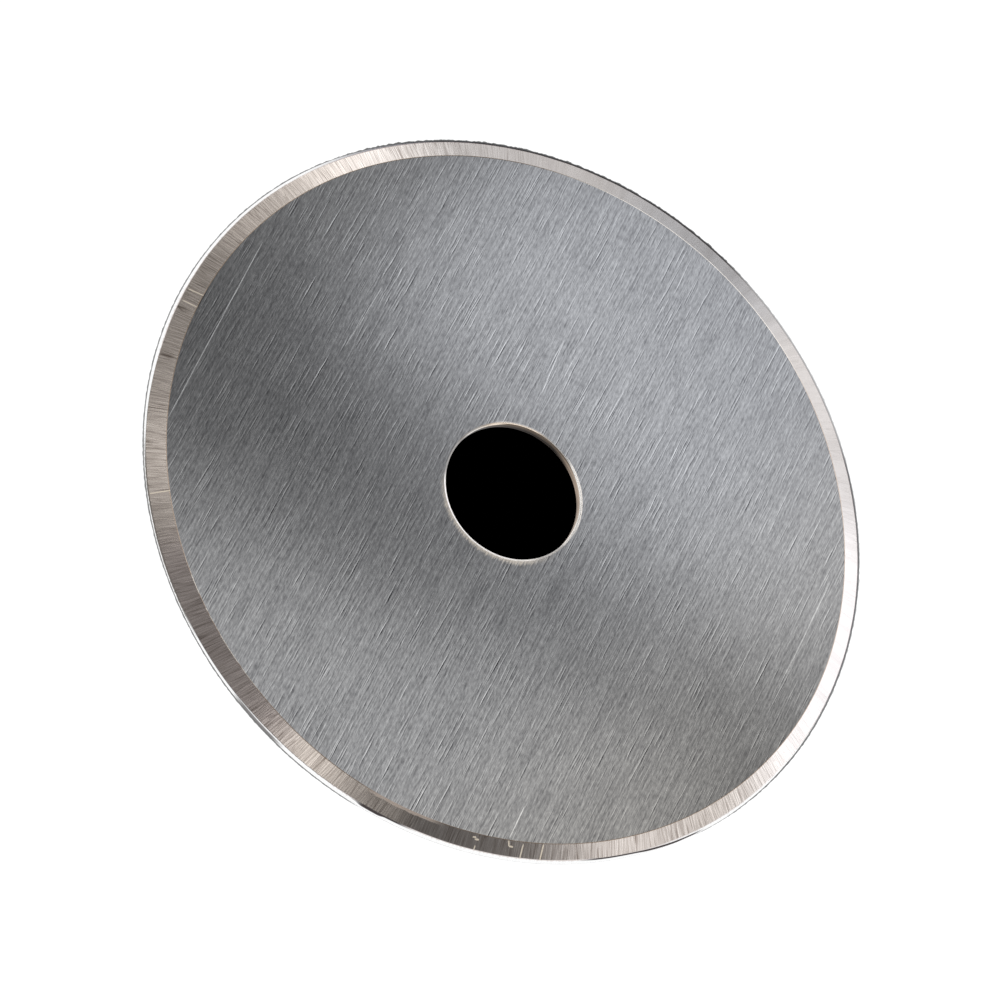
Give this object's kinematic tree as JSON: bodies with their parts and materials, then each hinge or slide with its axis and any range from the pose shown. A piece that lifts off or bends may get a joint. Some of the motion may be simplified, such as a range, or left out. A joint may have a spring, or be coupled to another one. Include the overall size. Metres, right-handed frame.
{
  "type": "rotary cutter blade",
  "caption": "Thin round steel blade, flat on the back and ground on the front to a honed edge, with a central hole that runs on a spindle.",
  "frame": {"origin": "on the axis of the hole, in the plane of the flat back that the blade lies on", "axes": "+Z along the axis of the hole, out of the ground front face; X and Y lie in the back's plane, and the blade is round about Z"},
  "size_m": [0.045, 0.045, 0.0005],
  "materials": {
    "blade_steel": "brushed face, ground bevel, honed edge"
  },
  "bodies": {
    "root": {"blade": "blade_steel"}
  },
  "joints": []
}
